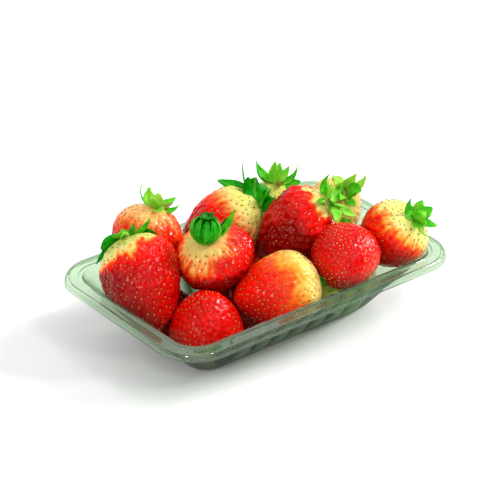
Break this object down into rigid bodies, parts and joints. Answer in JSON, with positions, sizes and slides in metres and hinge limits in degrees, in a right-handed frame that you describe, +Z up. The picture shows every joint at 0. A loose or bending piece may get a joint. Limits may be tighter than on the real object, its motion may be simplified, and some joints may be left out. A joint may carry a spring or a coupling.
{
  "type": "punnet of strawberries",
  "caption": "Shallow clear plastic tray with a wide flat rim and fluted long sides, heaped with ripe strawberries that still have their green leaves.",
  "frame": {"origin": "middle of the tray's footprint, on the surface that the punnet stands on", "axes": "+Z up, +X along the tray's long side, +Y across the tray"},
  "size_m": [0.186, 0.122, 0.0809],
  "materials": {
    "clear_pet": "clear thermoformed PET sheet with a pale mint green tint, glossy",
    "strawberry": "glossy red fruit skin with sunken yellow seeds, pale towards the green leaves"
  },
  "bodies": {
    "root": {"tray": "clear_pet", "strawberries": "strawberry"}
  },
  "joints": []
}
